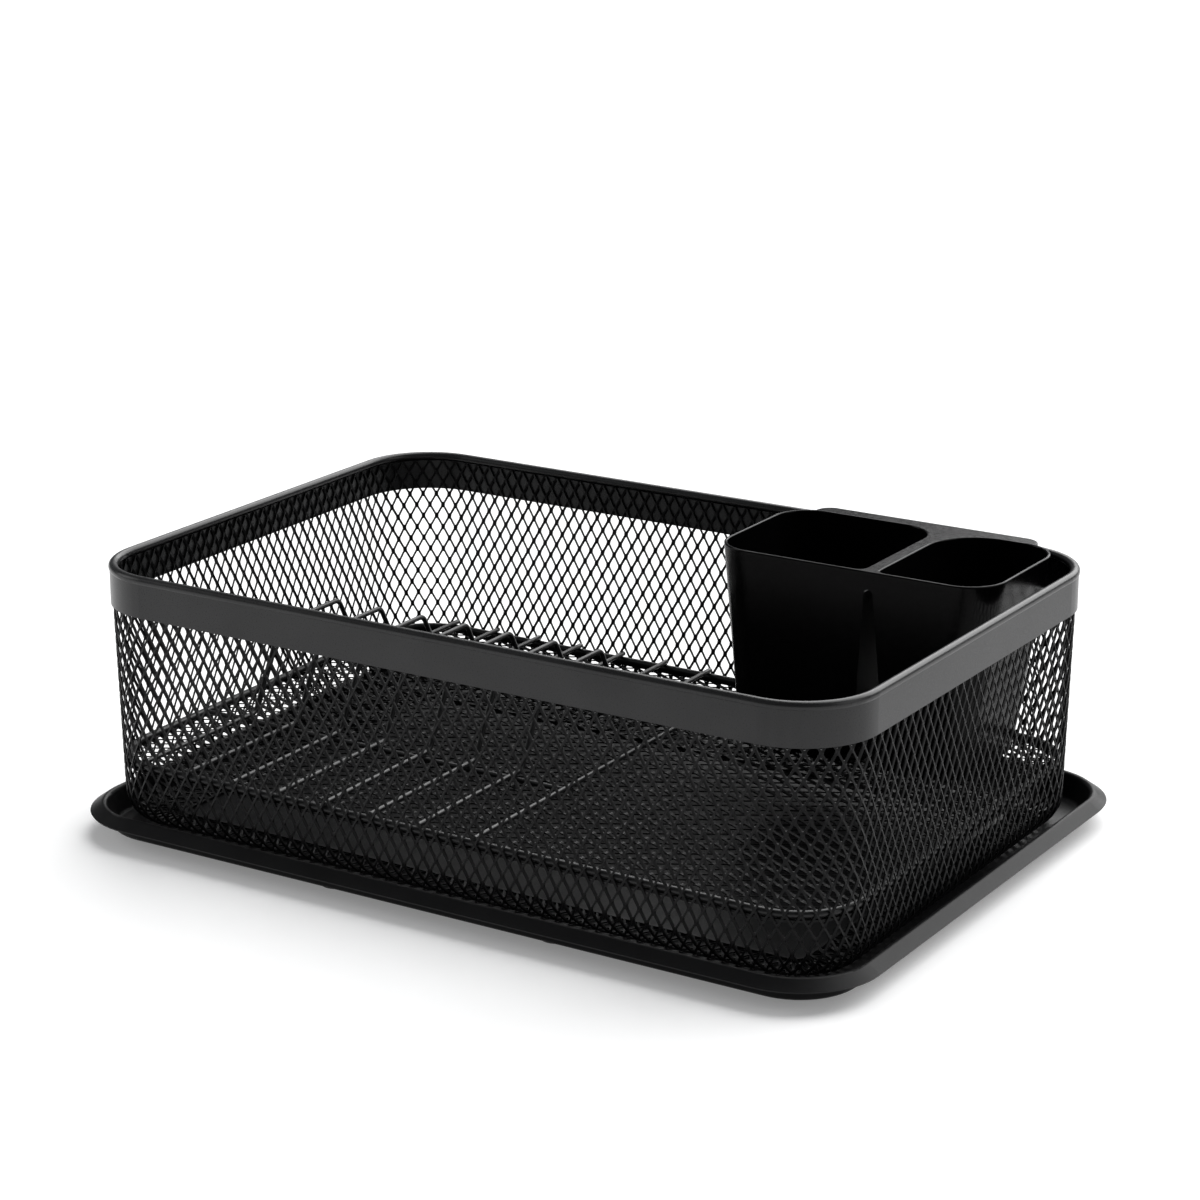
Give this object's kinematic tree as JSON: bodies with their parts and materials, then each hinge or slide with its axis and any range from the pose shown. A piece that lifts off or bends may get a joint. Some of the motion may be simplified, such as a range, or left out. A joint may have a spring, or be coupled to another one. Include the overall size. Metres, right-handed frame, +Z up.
{
  "type": "dish drying rack",
  "caption": "Countertop dish drying rack: an expanded-metal basket with wire plate hoops in a drip tray, with a lift-off cutlery cup on its rim.",
  "frame": {"origin": "on the surface the rack stands on, under the middle of the drip tray", "axes": "+Z up, +X along the long side towards the cutlery cup's end, -Y to the front"},
  "size_m": [0.473, 0.347, 0.1495],
  "materials": {
    "tray_enamel": "satin black coating",
    "foot_rubber": "matte black",
    "rim_paint": "satin black coating",
    "mesh_paint": "satin black coating",
    "wire_paint": "satin black coating",
    "cup_plastic": "glossy black moulding"
  },
  "bodies": {
    "tray": {"drip_tray": "tray_enamel", "foot_front_left": "foot_rubber", "foot_front_right": "foot_rubber", "foot_back_left": "foot_rubber", "foot_back_right": "foot_rubber"},
    "basket": {"rim_band": "rim_paint", "wall_mesh": "mesh_paint", "floor_mesh": "mesh_paint", "ring_wire": "wire_paint", "hoop_wire_1": "wire_paint", "hoop_wire_2": "wire_paint", "hoop_wire_3": "wire_paint", "hoop_wire_4": "wire_paint", "hoop_wire_5": "wire_paint", "hoop_wire_6": "wire_paint", "hoop_wire_7": "wire_paint", "straight_wire": "wire_paint", "tie_wire_front": "wire_paint", "tie_wire_back": "wire_paint"},
    "cup": {"cutlery_cup": "cup_plastic"}
  },
  "joints": [
    {"name": "basket_lift", "type": "slide", "parent": "tray", "child": "basket", "axis": [0, 0, 1], "range_m": [0, 0.06]},
    {"name": "cup_lift", "type": "slide", "parent": "basket", "child": "cup", "axis": [0, 0, 1], "range_m": [0, 0.115]}
  ]
}
